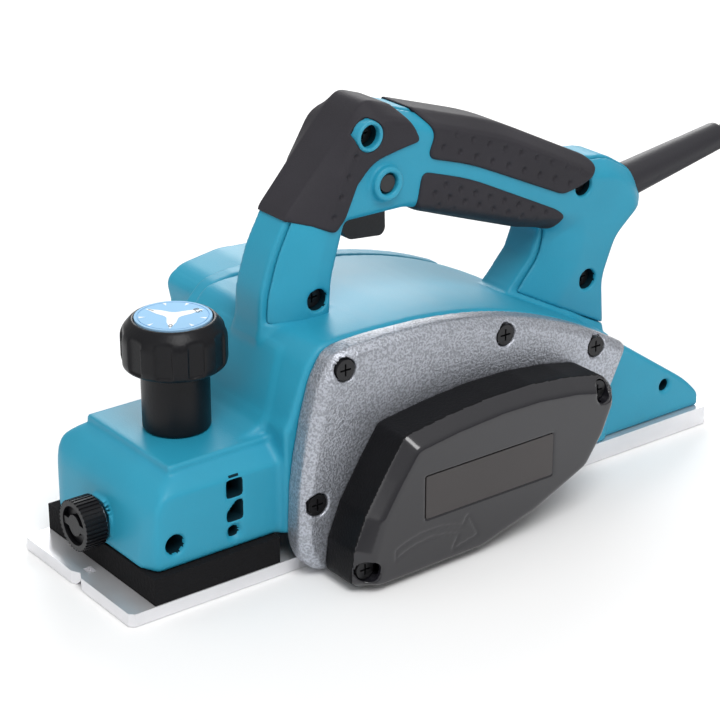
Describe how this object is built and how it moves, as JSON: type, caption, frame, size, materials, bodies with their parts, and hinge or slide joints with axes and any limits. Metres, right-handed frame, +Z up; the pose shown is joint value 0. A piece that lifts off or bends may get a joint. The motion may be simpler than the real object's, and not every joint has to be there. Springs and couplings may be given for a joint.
{
  "type": "electric hand planer",
  "caption": "Hand-held electric planer with belt-driven cutter drum, sprung front shoe set by a depth knob, closed handle with trigger and lock button, and a coiled mains lead.",
  "frame": {"origin": "middle of the sole's length and width, on the plane of the rear base", "axes": "+X the direction of travel, towards the front shoe's tip; +Y the operator's left, the belt side; +Z up"},
  "size_m": [0.5023, 0.1665, 0.1774],
  "materials": {
    "teal_housing": "satin",
    "soft_grip": "matt",
    "hammered_alloy": "hammertone",
    "gloss_cover": "gloss",
    "badge_panel": "satin",
    "sole_aluminium": "satin",
    "belt_rubber": "matt",
    "bright_steel": "satin",
    "lamination_steel": "matt",
    "enamelled_copper": "satin",
    "copper_bars": "satin",
    "brass_parts": "satin",
    "carbon": "matt",
    "black_plastic": "satin",
    "capacitor_case": "satin",
    "cord_rubber": "matt",
    "black_steel": "satin",
    "knob_plastic": "satin",
    "dial_blue": "satin",
    "foam": "matt",
    "drum_alloy": "machined",
    "blade_steel": "ground",
    "grey_button": "satin"
  },
  "bodies": {
    "body": {"main_housing": "teal_housing", "handle_left_cover": "teal_housing", "motor_housing": "teal_housing", "front_grip": "soft_grip", "upper_grip": "soft_grip", "lower_grip": "soft_grip", "side_bracket": "hammered_alloy", "belt_cover": "gloss_cover", "cover_badge": "badge_panel", "rear_base": "sole_aluminium", "drive_belt": "belt_rubber", "drum_bearings": "bright_steel", "armature_bearings": "bright_steel", "stator_core": "lamination_steel", "field_coils": "enamelled_copper", "brush_holders": "brass_parts", "carbon_brushes": "carbon", "brush_caps": "black_plastic", "switch_unit": "black_plastic", "capacitor": "capacitor_case", "cord_clamp": "black_plastic", "cord_guard": "cord_rubber", "power_cord": "cord_rubber", "cord_tail": "cord_rubber", "cord_coil": "cord_rubber", "cord_tie": "cord_rubber", "plug_body": "cord_rubber", "plug_pins": "brass_parts", "handle_screws": "black_steel", "bracket_screws": "black_steel", "belt_cover_screws": "black_steel", "motor_housing_screws": "black_steel", "base_screws": "bright_steel", "depth_spring": "bright_steel", "trigger_pin": "bright_steel", "trigger_spring": "bright_steel", "lock_spring": "bright_steel"},
    "front_shoe": {"front_shoe": "sole_aluminium", "front_foam_seal": "foam", "depth_stud": "bright_steel", "shoe_guide_pins": "bright_steel"},
    "depth_knob": {"depth_knob": "knob_plastic", "depth_dial": "dial_blue", "depth_sleeve": "brass_parts", "sleeve_clip": "bright_steel"},
    "clamp_washer": {"clamp_washer": "bright_steel"},
    "guide_clamp_screw": {"guide_clamp_screw": "knob_plastic"},
    "cutter_drum": {"cutter_drum": "drum_alloy", "drum_blades": "blade_steel", "blade_clamps": "blade_steel", "blade_bolts": "black_steel", "drum_pulley": "drum_alloy"},
    "armature": {"armature_shaft": "bright_steel", "armature_core": "lamination_steel", "commutator": "copper_bars", "cooling_fan": "black_plastic", "drive_pulley": "drum_alloy"},
    "trigger": {"trigger": "black_plastic"},
    "lock_button": {"lock_button": "grey_button"}
  },
  "joints": [
    {"name": "depth_knob_turn", "type": "hinge", "parent": "body", "child": "depth_knob", "pos_m": [0.1067, 0, 0.07], "axis": [0, 0, 1], "range_deg": [0, 240]},
    {"name": "front_shoe_rise", "type": "slide", "parent": "body", "child": "front_shoe", "axis": [0, 0, 1], "range_m": [0, 0.001], "deforming": ["front_foam_seal", "depth_spring"]},
    {"name": "clamp_feed", "type": "slide", "parent": "body", "child": "clamp_washer", "axis": [-1, 0, 0], "range_m": [0, 0.0015]},
    {"name": "clamp_turn", "type": "hinge", "parent": "clamp_washer", "child": "guide_clamp_screw", "pos_m": [0.15, 0, 0.027], "axis": [-1, 0, 0], "range_deg": [0, 675]},
    {"name": "drum_spin", "type": "hinge", "parent": "body", "child": "cutter_drum", "pos_m": [0.046, 0, 0.0265], "axis": [0, 1, 0], "continuous": true},
    {"name": "armature_spin", "type": "hinge", "parent": "body", "child": "armature", "pos_m": [-0.029, 0, 0.043], "axis": [0, 1, 0], "continuous": true},
    {"name": "trigger_pull", "type": "hinge", "parent": "body", "child": "trigger", "pos_m": [0.031, 0, 0.137], "axis": [0, 1, 0], "range_deg": [0, 7], "stiffness_Nm_per_rad": 0.4, "springref_deg": -5.73, "deforming": ["trigger_spring"]},
    {"name": "lock_button_press", "type": "slide", "parent": "body", "child": "lock_button", "axis": [0, -1, 0], "range_m": [0, 0.003], "stiffness_N_per_m": 300, "springref_m": -0.001, "deforming": ["lock_spring"]}
  ],
  "couplings": [
    {"joint": "depth_knob_turn", "follows": "front_shoe_rise", "rad_per_m": 4188.8},
    {"joint": "clamp_turn", "follows": "clamp_feed", "rad_per_m": 7854},
    {"joint": "armature_spin", "follows": "drum_spin", "ratio": 1.3214}
  ]
}
